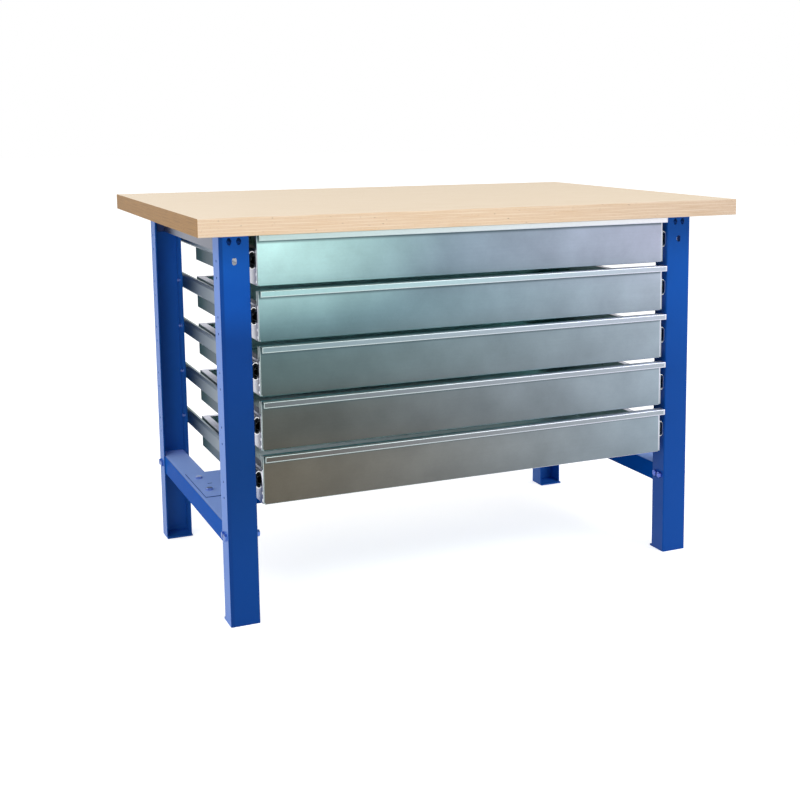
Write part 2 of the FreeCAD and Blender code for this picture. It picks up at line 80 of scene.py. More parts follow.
def add(tree, kind, inputs=(), **settings):
    """Adds a node; inputs holds (socket, value or linked socket) pairs."""
    node = tree.nodes.new(kind)
    for name, value in settings.items():
        setattr(node, name, value)
    for socket, value in inputs:
        if isinstance(value, bpy.types.NodeSocket):
            tree.links.new(value, node.inputs[socket])
        else:
            node.inputs[socket].default_value = value
    return node


def new_material(name):
    """An empty material with its node tree and its surface output."""
    material = bpy.data.materials.new(name)
    material.use_nodes = True
    material.node_tree.nodes.clear()
    output = material.node_tree.nodes.new("ShaderNodeOutputMaterial")
    return material, material.node_tree, output


room_light = 0.62
floor_lift = 0.62           # what the camera sees added to the floor's own light
mirrored_lift = 0.42        # the same for reflections, which see the floor a little brighter
world = bpy.data.worlds.new("white_room")
world.use_nodes = True
world.node_tree.nodes.clear()
tree = world.node_tree
rays = add(tree, "ShaderNodeLightPath")
seen = add(tree, "ShaderNodeMath", [(0, rays.outputs["Is Camera Ray"]),
                                    (1, rays.outputs["Is Glossy Ray"])], operation="MAXIMUM")
seen = add(tree, "ShaderNodeMath", [(0, seen.outputs[0]),
                                    (1, rays.outputs["Is Transmission Ray"])], operation="MAXIMUM")
lit = add(tree, "ShaderNodeBackground", [("Color", linear("#ffffff")), ("Strength", room_light)])
white = add(tree, "ShaderNodeBackground", [("Color", linear("#ffffff")), ("Strength", 1.0)])
room = add(tree, "ShaderNodeMixShader", [(0, seen.outputs[0]), (1, lit.outputs[0]), (2, white.outputs[0])])
add(tree, "ShaderNodeOutputWorld", [("Surface", room.outputs[0])])
bpy.context.scene.world = world

floor_size = 60.0
floor_mesh = bmesh.new()
bmesh.ops.create_grid(floor_mesh, x_segments=1, y_segments=1, size=floor_size / 2)
floor_data = bpy.data.meshes.new("floor")
floor_mesh.to_mesh(floor_data)
floor_mesh.free()
floor = bpy.data.objects.new("floor", floor_data)
bpy.context.scene.collection.objects.link(floor)
material, tree, output = new_material("pale_floor")
rays = add(tree, "ShaderNodeLightPath")
mirrored = add(tree, "ShaderNodeMath", [(0, rays.outputs["Is Glossy Ray"]),
                                        (1, rays.outputs["Is Transmission Ray"])], operation="MAXIMUM")
mirrored = add(tree, "ShaderNodeMath", [(0, mirrored.outputs[0]), (1, mirrored_lift)], operation="MULTIPLY")
lift = add(tree, "ShaderNodeMath", [(0, rays.outputs["Is Camera Ray"]), (1, floor_lift)],
           operation="MULTIPLY")
lift = add(tree, "ShaderNodeMath", [(0, lift.outputs[0]), (1, mirrored.outputs[0])], operation="MAXIMUM")
matt = add(tree, "ShaderNodeBsdfDiffuse", [("Color", linear("#f4f4f4"))])
glow = add(tree, "ShaderNodeEmission", [("Color", linear("#ffffff")), ("Strength", lift.outputs[0])])
both = add(tree, "ShaderNodeAddShader", [(0, matt.outputs[0]), (1, glow.outputs[0])])
tree.links.new(both.outputs[0], output.inputs["Surface"])
floor_data.materials.append(material)

aim = Vector((0, 0, 0.45))
for name, place, size, power in (("key_lamp", (2.2, -2.9, 3.0), 2.2, 60.0),
                                 ("fill_lamp", (-2.9, -2.2, 2.2), 2.0, 34.0),
                                 ("rear_lamp", (-0.6, 3.2, 2.8), 2.4, 14.0)):
    lamp_data = bpy.data.lights.new(name, "AREA")
    lamp_data.size = size
    lamp_data.energy = power
    lamp = bpy.data.objects.new(name, lamp_data)
    lamp.location = place
    lamp.rotation_euler = (aim - Vector(place)).to_track_quat("-Z", "Y").to_euler()
    bpy.context.scene.collection.objects.link(lamp)
bpy.context.scene.view_settings.view_transform = "Standard"


# ---------------------------------------------------------------- worktop
# One board of birch multiplex: thin cross-laid plies, glued and pressed, then sanded and
# lacquered clear.  It lies on the top rails and is screwed down from below.
def give(material, *nodes):
    """Puts a material on CAD nodes."""
    for name in nodes:
        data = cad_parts[name].data
        data.materials.clear()
        data.materials.append(material)


def ramp(tree, value, *stops):
    """Colour along a value from 0 to 1, eased between (position, sRGB hex) stops."""
    node = add(tree, "ShaderNodeValToRGB", [("Fac", value)])
    node.color_ramp.interpolation = "EASE"
    while len(node.color_ramp.elements) < len(stops):
        node.color_ramp.elements.new(0.5)
    for element, (position, code) in zip(node.color_ramp.elements, stops):
        element.position = position
        element.color = linear(code)
    return node.outputs[0]


top_low, top_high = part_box("worktop")
ply = 3.2 * mm              # real plies are 1.4 mm; drawn coarser, so that they show
glue_line = 0.4 * mm        # real glue lines are 0.1 mm; drawn coarser for the same reason
fibre = 1.2 * mm            # width of one streak of the grain
fibre_length = 110 * mm
void_length = 6 * mm        # short gaps in the inner plies, dark where the saw opened them
edge_band = 0.7 * mm        # what lies this near an edge's plane counts as edge
cut_strength = 0.14
glue_strength = 0.22
void_strength = 0.75
void_level = 0.77           # of the noise: higher leaves fewer voids

# Birch multiplex, sanded and lacquered: cream along the grain, browner where fibres are cut; its end faces
# are painted darker still, a painted shade.
multiplex, tree, output = new_material("lacquered_birch_multiplex")
place = add(tree, "ShaderNodeTexCoord").outputs["Object"]
axes = add(tree, "ShaderNodeSeparateXYZ", [(0, place)])
height = add(tree, "ShaderNodeMath", [(0, axes.outputs["Z"]), (1, top_low.z)], operation="SUBTRACT")
layer = add(tree, "ShaderNodeMath", [(0, height.outputs[0]), (1, ply)], operation="DIVIDE")
index = add(tree, "ShaderNodeMath", [(0, layer.outputs[0])], operation="FLOOR")
within = add(tree, "ShaderNodeMath", [(0, layer.outputs[0])], operation="FRACT")
crossed = add(tree, "ShaderNodeMath", [(0, index.outputs[0]), (1, 2.0)], operation="FLOORED_MODULO")
along_x = add(tree, "ShaderNodeMapping", [("Vector", place),
              ("Scale", (1 / fibre_length, 1 / fibre, 1 / fibre))])
along_y = add(tree, "ShaderNodeMapping", [("Vector", place),
              ("Scale", (1 / fibre, 1 / fibre_length, 1 / fibre))])
grain_x = add(tree, "ShaderNodeTexNoise", [("Vector", along_x.outputs[0]), ("Scale", 1.0),
                                           ("Detail", 4.0), ("Roughness", 0.6)])
grain_y = add(tree, "ShaderNodeTexNoise", [("Vector", along_y.outputs[0]), ("Scale", 1.0),
                                           ("Detail", 4.0), ("Roughness", 0.6)])
from_middle = add(tree, "ShaderNodeMath", [(0, axes.outputs["X"])], operation="ABSOLUTE")
at_end = add(tree, "ShaderNodeMath", [(0, from_middle.outputs[0]), (1, top_high.x - edge_band)],
             operation="GREATER_THAN")
from_middle = add(tree, "ShaderNodeMath", [(0, axes.outputs["Y"])], operation="ABSOLUTE")
at_side = add(tree, "ShaderNodeMath", [(0, from_middle.outputs[0]), (1, top_high.y - edge_band)],
              operation="GREATER_THAN")
on_edge = add(tree, "ShaderNodeMath", [(0, at_side.outputs[0]), (1, at_end.outputs[0])],
              operation="MAXIMUM")
# The faces' grain runs along X; on the edges every second ply runs across.
turned = add(tree, "ShaderNodeMath", [(0, crossed.outputs[0]), (1, on_edge.outputs[0])],
             operation="MULTIPLY")
grain = add(tree, "ShaderNodeMix", [("Factor", turned.outputs[0]), ("A", grain_x.outputs[0]),
                                    ("B", grain_y.outputs[0])])
face_tone = ramp(tree, grain.outputs[0], (0.25, "#e7d0ae"), (0.7, "#f3e1c8"))
side_left = ramp(tree, grain.outputs[0], (0.3, "#dfbd95"), (0.6, "#eed8be"))
side_right = ramp(tree, grain.outputs[0], (0.3, "#c8aa8b"), (0.6, "#e0cab4"))
along = add(tree, "ShaderNodeMapRange", [("Value", axes.outputs["X"]), ("From Max", top_high.x)])
side_tone = add(tree, "ShaderNodeMix", [("Factor", along.outputs[0]), ("A", side_left), ("B", side_right)],
                data_type="RGBA").outputs[2]
# The end faces are painted a darker brown: a painted shade.
shaded_end_tone = ramp(tree, grain.outputs[0], (0.3, "#8f6836"), (0.68, "#b48950"))
wood = add(tree, "ShaderNodeMix", [("Factor", at_side.outputs[0]), ("A", face_tone), ("B", side_tone)],
           data_type="RGBA")
wood = add(tree, "ShaderNodeMix", [("Factor", at_end.outputs[0]), ("A", wood.outputs[2]), ("B", shaded_end_tone)],
           data_type="RGBA")
# Cut fibres are a touch browner, and a thin glue line parts the plies.
cut_shown = add(tree, "ShaderNodeMath", [(0, turned.outputs[0]), (1, cut_strength)],
                operation="MULTIPLY")
wood = add(tree, "ShaderNodeMix", [("Factor", cut_shown.outputs[0]), ("A", wood.outputs[2]),
                                   ("B", linear("#d9b88f"))], data_type="RGBA", blend_type="MULTIPLY")
near_glue = add(tree, "ShaderNodeMath", [(0, within.outputs[0]), (1, 0.5)], operation="SUBTRACT")
near_glue = add(tree, "ShaderNodeMath", [(0, near_glue.outputs[0])], operation="ABSOLUTE")
near_glue = add(tree, "ShaderNodeMath", [(0, near_glue.outputs[0]), (1, 0.5 - glue_line / ply)],
                operation="GREATER_THAN")
glue_shown = add(tree, "ShaderNodeMath", [(0, near_glue.outputs[0]), (1, on_edge.outputs[0])],
                 operation="MULTIPLY")
glue_shown = add(tree, "ShaderNodeMath", [(0, glue_shown.outputs[0]), (1, grain_x.outputs[0])],
                 operation="MULTIPLY")
glue_shown = add(tree, "ShaderNodeMath", [(0, glue_shown.outputs[0]), (1, glue_strength)],
                 operation="MULTIPLY")
wood = add(tree, "ShaderNodeMix", [("Factor", glue_shown.outputs[0]), ("A", wood.outputs[2]),
                                   ("B", linear("#a97c4c"))], data_type="RGBA")
void_map = add(tree, "ShaderNodeMapping", [("Vector", place),
               ("Scale", (1 / void_length, 1 / void_length, 1 / ply))])
voids = add(tree, "ShaderNodeTexNoise", [("Vector", void_map.outputs[0]), ("Scale", 1.0),
                                         ("Detail", 1.0)])
void = add(tree, "ShaderNodeMath", [(0, voids.outputs[0]), (1, void_level)], operation="GREATER_THAN")
void_shown = add(tree, "ShaderNodeMath", [(0, void.outputs[0]), (1, on_edge.outputs[0])],
                 operation="MULTIPLY")
void_shown = add(tree, "ShaderNodeMath", [(0, void_shown.outputs[0]), (1, void_strength)],
                 operation="MULTIPLY")
wood = add(tree, "ShaderNodeMix", [("Factor", void_shown.outputs[0]), ("A", wood.outputs[2]),
                                   ("B", linear("#6e4a2a"))], data_type="RGBA")
gloss = add(tree, "ShaderNodeMapRange", [("Value", grain.outputs[0]), ("To Min", 0.5), ("To Max", 0.62)])
bump = add(tree, "ShaderNodeBump", [("Strength", 0.25), ("Distance", 0.1 * mm),
                                    ("Height", grain.outputs[0])])
skin = add(tree, "ShaderNodeBsdfPrincipled", [("Base Color", wood.outputs[2]),
           ("Roughness", gloss.outputs[0]), ("IOR", 1.48), ("Normal", bump.outputs[0])])
tree.links.new(skin.outputs[0], output.inputs["Surface"])
give(multiplex, "worktop")

# ---------------------------------------------------------------- legs and foot plates
# Four folded steel channels, each welded to a small foot plate, sprayed with polyester powder and baked: a
# smooth satin blue with a fine orange peel, painted lighter towards the top and darker on the left legs, as
# painted light and shade.
peel = 2.5 * mm             # real orange peel is about 1 mm; drawn coarser, so that it shows
leg_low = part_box("leg_front_left")[0]
leg_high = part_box("leg_front_right")[1]
fold_shade_start = 6 * mm         # painted shade beside the left fold, from here
fold_shade_end = 9 * mm           # to here, it fades into the coat's own blue
rear_start = 0.26           # inside the rear legs, along Y
rear_end = 0.30


def powder_coat(name, ior, roughness, outer_depth, outer_sheen_tone, upward_reflection):
    """Blue powder coat; its outer side at the left end is painted lighter, a painted sheen, and what faces
    upwards is painted pale blue, a painted reflection.

    The outer side reaches outer_depth into the bench; the last argument is how much of the blue that
    painted reflection hides.
    """
    material, tree, output = new_material(name)
    place = add(tree, "ShaderNodeTexCoord").outputs["Object"]
    axes = add(tree, "ShaderNodeSeparateXYZ", [(0, place)])
    up = add(tree, "ShaderNodeMapRange", [("Value", axes.outputs["Z"]), ("From Min", leg_low.z),
                                          ("From Max", leg_high.z)])
    across = add(tree, "ShaderNodeMapRange", [("Value", axes.outputs["X"]), ("From Min", leg_low.x),
                                              ("From Max", leg_high.x)])
    # Painted light and shade: the blue is lighter towards the top of the legs and darker on the left legs.
    left = ramp(tree, up.outputs[0], (0.09, "#033f8b"), (0.4, "#01397c"), (0.71, "#033c88"),
                (0.84, "#0850ae"), (0.93, "#105cbf"))
    right = ramp(tree, up.outputs[0], (0.0, "#0449a0"), (0.5, "#03469a"), (0.9, "#0a52ae"))
    tone = add(tree, "ShaderNodeMix", [("Factor", across.outputs[0]), ("A", left), ("B", right)],
               data_type="RGBA")
    # A band beside the left fold is painted darker: a painted shade along the fold.
    fold_shade = add(tree, "ShaderNodeMapRange", [("Value", axes.outputs["X"]),
                                            ("From Min", leg_low.x + fold_shade_end),
                                            ("From Max", leg_low.x + fold_shade_start), ("To Max", 0.6)])
    tone = add(tree, "ShaderNodeMix", [("Factor", fold_shade.outputs[0]), ("A", tone.outputs[2]),
                                       ("B", linear("#02357c"))], data_type="RGBA")
    # Painted sheen: the outer side at the left end is painted a lighter blue.
    outer = add(tree, "ShaderNodeMath", [(0, axes.outputs["X"]), (1, leg_low.x + outer_depth)],
                operation="LESS_THAN")
    outer = add(tree, "ShaderNodeMath", [(0, outer.outputs[0]), (1, 0.75)], operation="MULTIPLY")
    tone = add(tree, "ShaderNodeMix", [("Factor", outer.outputs[0]), ("A", tone.outputs[2]),
                                       ("B", linear(outer_sheen_tone))], data_type="RGBA")
    # Inside the rear legs the blue is painted lighter: painted light against the shade there.
    back = add(tree, "ShaderNodeMapRange", [("Value", axes.outputs["Y"]), ("From Min", rear_start),
                                            ("From Max", rear_end), ("To Max", 0.65)])
    tone = add(tree, "ShaderNodeMix", [("Factor", back.outputs[0]), ("A", tone.outputs[2]),
                                       ("B", linear("#2c70ca"))], data_type="RGBA")
    # Upward faces are painted pale blue: a painted reflection of the white room behind them.
    facing = add(tree, "ShaderNodeNewGeometry")
    facing = add(tree, "ShaderNodeSeparateXYZ", [(0, facing.outputs["Normal"])])
    upward_reflection_mask = add(tree, "ShaderNodeMapRange", [("Value", facing.outputs["Z"]), ("From Min", 0.5),
                                              ("From Max", 1.0), ("To Max", upward_reflection)])
    tone = add(tree, "ShaderNodeMix", [("Factor", upward_reflection_mask.outputs[0]), ("A", tone.outputs[2]),
                                       ("B", linear("#9dbcff"))], data_type="RGBA")
    orange_peel = add(tree, "ShaderNodeTexNoise", [("Vector", place), ("Scale", 1 / peel), ("Detail", 2.0)])
    gloss = add(tree, "ShaderNodeMapRange", [("Value", orange_peel.outputs[0]),
                                             ("To Min", roughness - 0.05), ("To Max", roughness + 0.05)])
    bump = add(tree, "ShaderNodeBump", [("Strength", 0.12), ("Distance", 0.1 * mm),
                                        ("Height", orange_peel.outputs[0])])
    # Its highlights are weak and bluish, as the blue pigment lies right under a thin skin of resin.
    skin = add(tree, "ShaderNodeBsdfPrincipled", [("Base Color", tone.outputs[2]),
               ("Roughness", gloss.outputs[0]), ("IOR", ior), ("Specular IOR Level", 0.3),
               ("Specular Tint", (0.45, 0.6, 1.0, 1.0)), ("Normal", bump.outputs[0])])
    tree.links.new(skin.outputs[0], output.inputs["Surface"])
    return material


# Satin polyester powder coat: a deep blue with soft, broad highlights; the lighter outer side of the left
# legs is a painted sheen.
satin_coat = powder_coat("satin_blue_powder_coat", 1.45, 0.36, 0.3 * mm, "#5f93ee", 0.0)
give(satin_coat, "leg_front_left", "leg_front_right", "leg_rear_left", "leg_rear_right", "foot_plates")


# ---------------------------------------------------------------- stretchers
# Two side stretchers lie inside the legs, and a wide centre stretcher lies across them.  All three
# are channels folded from 2 mm sheet on a press brake, powder coated like the legs, and bolted.
def put(mesh, name, material, body, slot, *nodes):
    """Makes an object of a bmesh, sharp at its edges, that rides on a body and stands for CAD nodes."""
    data = bpy.data.meshes.new(name)
    mesh.to_mesh(data)
    mesh.free()
    data.shade_smooth()
    data.set_sharp_from_angle(angle=math.radians(32))
    data.materials.append(material)
    piece = bpy.data.objects.new(name, data)
    bpy.context.scene.collection.objects.link(piece)
    flatten = piece.modifiers.new("flat_faces", "WEIGHTED_NORMAL")
    flatten.keep_sharp = True
    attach(piece, body)
    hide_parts(*nodes)
    return piece


def merged_copy(node):
    """A bmesh of a CAD node, with its loose triangles joined into whole faces."""
    mesh = bmesh.new()
    mesh.from_mesh(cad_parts[node].data)
    bmesh.ops.remove_doubles(mesh, verts=mesh.verts, dist=0.002 * mm)
    bmesh.ops.dissolve_limit(mesh, angle_limit=math.radians(1), verts=mesh.verts, edges=mesh.edges)
    return mesh


def min_width(face):
    """Smaller side of a flat face's box."""
    sizes = []
    for axis in range(3):
        values = [vert.co[axis] for vert in face.verts]
        sizes.append(max(values) - min(values))
    return sorted(sizes)[1]


def round_folds(mesh, wall, inner_radius, shortest):
    """Rounds a bent sheet's folds: right-angled edges of some length, between faces wider than its wall."""
    outer, inner = [], []
    for edge in mesh.edges:
        if len(edge.link_faces) != 2 or edge.calc_length() < shortest:
            continue
        if abs(edge.calc_face_angle() - math.pi / 2) > 0.05:
            continue
        widths = [min_width(face) for face in edge.link_faces]
        if min(widths) < 1.5 * wall:
            continue
        (outer if edge.is_convex else inner).append(edge)
    for edges, radius in ((inner, inner_radius), (outer, inner_radius + wall)):
        edges = [edge for edge in edges if edge.is_valid]
        bmesh.ops.bevel(mesh, geom=edges, offset=radius, offset_type="OFFSET", segments=4,
                        profile=0.5, affect="EDGES", material=-1, clamp_overlap=True)


# The same powder coat, smoother and almost without gloss of its own (its IOR is matched down for that): its
# outer side is painted a brighter blue, a painted sheen, and its upward faces are painted pale blue, a
# painted reflection of the white room.
bright_coat = powder_coat("bright_blue_powder_coat", 1.03, 0.22, 3.5 * mm, "#1263cc", 0.95)
stretcher_wall = 2 * mm
for name in ("side_stretcher_left", "side_stretcher_right", "centre_stretcher"):
    mesh = merged_copy(name)
    round_folds(mesh, stretcher_wall, 1.5 * mm, 500 * mm)
    put(mesh, name + "_folded", bright_coat, "frame", "blue_powder_coat", name)

# ---------------------------------------------------------------- top rails
# Between front and rear leg, right under the worktop: two channels of galvanised sheet, folded on a
# press brake, whose end tabs are screwed to the legs' webs.
crystal = 4 * mm            # width of the zinc's crystals
streak_width = 2 * mm       # real rolling streaks are far finer; drawn coarser, so that they show
streak_length = 250 * mm


def zinc_skin(tree, output, place, tone, roughness):
    """Satin zinc over a colour: faint crystals, streaks from rolling, and a soft gloss."""
    cells = add(tree, "ShaderNodeTexVoronoi", [("Vector", place), ("Scale", 1 / crystal)])
    cell_tone = add(tree, "ShaderNodeSeparateColor", [(0, cells.outputs["Color"])])
    streak_map = add(tree, "ShaderNodeMapping", [("Vector", place),
                     ("Scale", (1 / streak_length, 1 / streak_length, 1 / streak_width))])
    streaks = add(tree, "ShaderNodeTexNoise", [("Vector", streak_map.outputs[0]), ("Scale", 1.0),
                                               ("Detail", 3.0)])
    pattern = add(tree, "ShaderNodeMix", [("Factor", 0.7), ("A", cell_tone.outputs[0]),
                                          ("B", streaks.outputs[0])])
    shade = add(tree, "ShaderNodeMapRange", [("Value", pattern.outputs[0]), ("From Min", 0.2),
                                             ("From Max", 0.8), ("To Min", 0.965), ("To Max", 1.035)])
    shaded = add(tree, "ShaderNodeVectorMath", [(0, tone), ("Scale", shade.outputs[0])], operation="SCALE")
    gloss = add(tree, "ShaderNodeMapRange", [("Value", pattern.outputs[0]),
                                             ("To Min", roughness - 0.04), ("To Max", roughness + 0.04)])
    bump = add(tree, "ShaderNodeBump", [("Strength", 0.05), ("Distance", 0.1 * mm),
                                        ("Height", pattern.outputs[0])])
    skin = add(tree, "ShaderNodeBsdfPrincipled", [("Base Color", shaded.outputs[0]), ("Metallic", 1.0),
               ("Roughness", gloss.outputs[0]), ("Normal", bump.outputs[0])])
    tree.links.new(skin.outputs[0], output.inputs["Surface"])


def zinc_along(axis, name, roughness, *stops):
    """Plated steel whose colour changes from the left of the bench to its right, or front to back."""
    material, tree, output = new_material(name)
    place = add(tree, "ShaderNodeTexCoord").outputs["Object"]
    axes = add(tree, "ShaderNodeSeparateXYZ", [(0, place)])
    end = leg_high.x if axis == "X" else -leg_low.y
    share = add(tree, "ShaderNodeMapRange", [("Value", axes.outputs[axis]), ("From Min", -end),
                                             ("From Max", end)])
    zinc_skin(tree, output, place, ramp(tree, share.outputs[0], *stops), roughness)
    return material


# Hot-dip galvanised sheet: dull silver grey; its end tabs are painted dark blue, a painted shade and
# reflection of the blue legs around them.
rail_sheet = zinc_along("Y", "galvanised_rail_sheet", 0.42, (0.0085, "#16336c"), (0.011, "#7e818e"),
                        (0.989, "#979ba7"), (0.9915, "#16336c"))
rail_wall = 2 * mm
for name in ("top_rail_left", "top_rail_right"):
    mesh = merged_copy(name)
    round_folds(mesh, rail_wall, 1 * mm, 500 * mm)
    put(mesh, name + "_folded", rail_sheet, "frame", "rail_sheet", name)

# ---------------------------------------------------------------- drawer trays
# Each tray is a box folded from 1 mm galvanised sheet, with flanges turned inwards along its rim.
# It is riveted to its front and to the inner members of its two slides.
tray_wall = 1 * mm
teal_reach = 20 * mm            # how far ahead of the back wall the painted teal reaches
tray_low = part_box("drawer_tray_5")[0]
tray_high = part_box("drawer_tray_1")[1]
drawers = range(1, 6)
drawer_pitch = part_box("drawer_tray_1")[1].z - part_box("drawer_tray_2")[1].z
tray_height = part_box("drawer_tray_1")[1].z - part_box("drawer_tray_1")[0].z

# Galvanised sheet, painted a light teal inside, as painted light in its shaded inside; its outer sides are
# painted lighter at the front and darker towards the back, as painted light and shade.
tray_sheet, tree, output = new_material("galvanised_tray_sheet")
place = add(tree, "ShaderNodeTexCoord").outputs["Object"]
axes = add(tree, "ShaderNodeSeparateXYZ", [(0, place)])
back = add(tree, "ShaderNodeMapRange", [("Value", axes.outputs["Y"]), ("From Min", tray_low.y),
                                        ("From Max", tray_high.y)])
across = add(tree, "ShaderNodeMapRange", [("Value", axes.outputs["X"]), ("From Min", tray_low.x),
                                          ("From Max", tray_high.x)])
# Painted light and shade: the outer sides are lighter at the front and darker towards the back.
outside = ramp(tree, back.outputs[0], (0.0, "#e2e3ec"), (0.3, "#9499a4"), (0.75, "#66757b"),
               (1.0, "#335d58"))
# Painted light: the inside is a light teal, lighter at the left and stronger towards the back wall.
floor_tone = ramp(tree, across.outputs[0], (0.0, "#d6e4e6"), (1.0, "#a4bdbd"))
deep_tone = ramp(tree, across.outputs[0], (0.0, "#aedcde"), (1.0, "#86c2bf"))
deep = add(tree, "ShaderNodeMapRange", [("Value", axes.outputs["Y"]), ("From Min", tray_high.y - teal_reach),
                                        ("From Max", tray_high.y - 2 * tray_wall)])
inside = add(tree, "ShaderNodeMix", [("Factor", deep.outputs[0]), ("A", floor_tone), ("B", deep_tone)],
             data_type="RGBA").outputs[2]
from_middle = add(tree, "ShaderNodeMath", [(0, axes.outputs["X"])], operation="ABSOLUTE")
at_side = add(tree, "ShaderNodeMath", [(0, from_middle.outputs[0]), (1, tray_high.x - 0.5 * tray_wall)],
              operation="GREATER_THAN")
tone = add(tree, "ShaderNodeMix", [("Factor", at_side.outputs[0]), ("A", inside), ("B", outside)],
           data_type="RGBA")
above = add(tree, "ShaderNodeMath", [(0, axes.outputs["Z"]), (1, tray_low.z)], operation="SUBTRACT")
above = add(tree, "ShaderNodeMath", [(0, above.outputs[0]), (1, drawer_pitch)], operation="FLOORED_MODULO")
underneath = add(tree, "ShaderNodeMath", [(0, above.outputs[0]), (1, 0.5 * tray_wall)],
                 operation="LESS_THAN")
at_back = add(tree, "ShaderNodeMath", [(0, axes.outputs["Y"]), (1, tray_high.y - 0.5 * tray_wall)],
              operation="GREATER_THAN")
tone = add(tree, "ShaderNodeMix", [("Factor", underneath.outputs[0]), ("A", tone.outputs[2]),
                                   ("B", linear("#b0c8ca"))], data_type="RGBA")
tone = add(tree, "ShaderNodeMix", [("Factor", at_back.outputs[0]), ("A", tone.outputs[2]),
                                   ("B", linear("#8f9a9f"))], data_type="RGBA")
on_rim = add(tree, "ShaderNodeMath", [(0, above.outputs[0]), (1, tray_height - 1.5 * tray_wall)],
             operation="GREATER_THAN")
tone = add(tree, "ShaderNodeMix", [("Factor", on_rim.outputs[0]), ("A", tone.outputs[2]),
                                   ("B", linear("#b9bcc8"))], data_type="RGBA")
zinc_skin(tree, output, place, tone.outputs[2], 0.42)

for i in drawers:
    mesh = merged_copy("drawer_tray_%d" % i)
    round_folds(mesh, tray_wall, 0.6 * mm, 400 * mm)
    put(mesh, "drawer_tray_folded_%d" % i, tray_sheet, "drawer_%d" % i, "drawer_tray_sheet",
        "drawer_tray_%d" % i)

# ---------------------------------------------------------------- drawer fronts
# One blank of 1.2 mm galvanised sheet each: its sides and foot are folded back, its top is folded
# forwards as a grip and down as a lip, and the lip's edge is hemmed.  Notches free the corners.
front_wall = 1.2 * mm
fold_radius = 1.2 * mm      # inside of each fold
notch = 3.0 * mm
grip_reach = 21 * mm
lip_drop = 12 * mm
hem_gap = 1.8 * mm          # between the middles of the hem's two leaves
hem_height = 7 * mm


def fold_out(mesh, edges, way):
    """Extrudes edges of the blank and returns the new far edges."""
    found = bmesh.ops.extrude_edge_only(mesh, edges=edges)["geom"]
    verts = [item for item in found if isinstance(item, bmesh.types.BMVert)]
    bmesh.ops.translate(mesh, verts=verts, vec=way)
    return [item for item in found if isinstance(item, bmesh.types.BMEdge)]


def drawer_front(low, high):
    """Middle surface of one front's folded blank, within the box from low to high."""
    half = front_wall / 2
    left, right = low.x + half, high.x - half
    foot, top = low.z + half, high.z - half
    lip_y, back_y = low.y + half, high.y
    face_y = low.y + grip_reach + half
    outline = [(left + notch, foot), (right - notch, foot), (right - notch, foot + notch),
               (right, foot + notch), (right, top - notch), (high.x, top - notch), (high.x, top),
               (low.x, top), (low.x, top - notch), (left, top - notch), (left, foot + notch),
               (left + notch, foot + notch)]
    mesh = bmesh.new()
    verts = [mesh.verts.new((x, face_y, z)) for x, z in outline]
    mesh.faces.new(verts)
    edges = [mesh.edges.get((verts[i], verts[(i + 1) % len(verts)])) for i in range(len(verts))]
    foot_fold, right_fold, top_fold, left_fold = edges[0], edges[3], edges[6], edges[9]
    back = Vector((0, back_y - face_y, 0))
    for fold in (foot_fold, right_fold, left_fold):
        fold_out(mesh, [fold], back)
    grip_fold = fold_out(mesh, [top_fold], Vector((0, lip_y - face_y, 0)))
    lip_fold = fold_out(mesh, grip_fold, Vector((0, 0, half - lip_drop)))
    hem_fold = fold_out(mesh, lip_fold, Vector((0, hem_gap, 0)))
    fold_out(mesh, hem_fold, Vector((0, 0, hem_height)))
    radius = fold_radius + half
    bmesh.ops.bevel(mesh, geom=[foot_fold, right_fold, top_fold, left_fold] + grip_fold, offset=radius,
                    offset_type="OFFSET", segments=5, profile=0.5, affect="EDGES", material=-1)
    bmesh.ops.bevel(mesh, geom=lip_fold + hem_fold, offset=hem_gap * 0.49, offset_type="OFFSET",
                    segments=4, profile=0.5, affect="EDGES", material=-1)
    bmesh.ops.recalc_face_normals(mesh, faces=mesh.faces)
    return mesh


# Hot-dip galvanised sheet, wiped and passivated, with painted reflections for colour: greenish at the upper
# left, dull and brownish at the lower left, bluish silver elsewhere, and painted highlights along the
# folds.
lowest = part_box("drawer_front_5")[0]
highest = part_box("drawer_front_1")[1]
front_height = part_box("drawer_front_1")[1].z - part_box("drawer_front_1")[0].z
reflection_middle = Vector((lowest.x, 0, highest.z - 20 * mm))
reflection_reach = 0.46
reflection_squash = 2.2           # the painted reflection is this much wider than high
cloud = 90 * mm             # width of the soft clouds that the passivation left
lip_shadow_start = 9 * mm         # a painted shadow under the lip fades in from here
lip_shadow_end = 4 * mm           # to its full depth here
highlight_top = 1.8 * mm       # depths of the strips painted bright as highlights on the folds and edges
highlight_foot = 1.4 * mm
highlight_hem = 1.6 * mm
highlight_left = 1.4 * mm
highlight_right = 3.5 * mm
front_sheet, tree, output = new_material("galvanised_front_sheet")
place = add(tree, "ShaderNodeTexCoord").outputs["Object"]
axes = add(tree, "ShaderNodeSeparateXYZ", [(0, place)])
across = add(tree, "ShaderNodeMapRange", [("Value", axes.outputs["X"]), ("From Min", lowest.x),
                                          ("From Max", highest.x)])
up = add(tree, "ShaderNodeMapRange", [("Value", axes.outputs["Z"]), ("From Min", lowest.z),
                                      ("From Max", highest.z)])
# Painted reflections: dull and brownish at the lower left, greenish higher up, bluish silver to the right.
left = ramp(tree, up.outputs[0], (0.1, "#635f55"), (0.3, "#515450"), (0.5, "#556768"),
            (0.7, "#607f86"), (0.9, "#66828c"))
right = ramp(tree, up.outputs[0], (0.1, "#8a98a3"), (0.5, "#94a1ad"), (0.7, "#9ba6b4"),
             (0.9, "#aeb4c9"))
rightness = add(tree, "ShaderNodeMath", [(0, across.outputs[0]), (1, 1.5)], operation="POWER")
tone = add(tree, "ShaderNodeMix", [("Factor", rightness.outputs[0]), ("A", left), ("B", right)],
           data_type="RGBA")
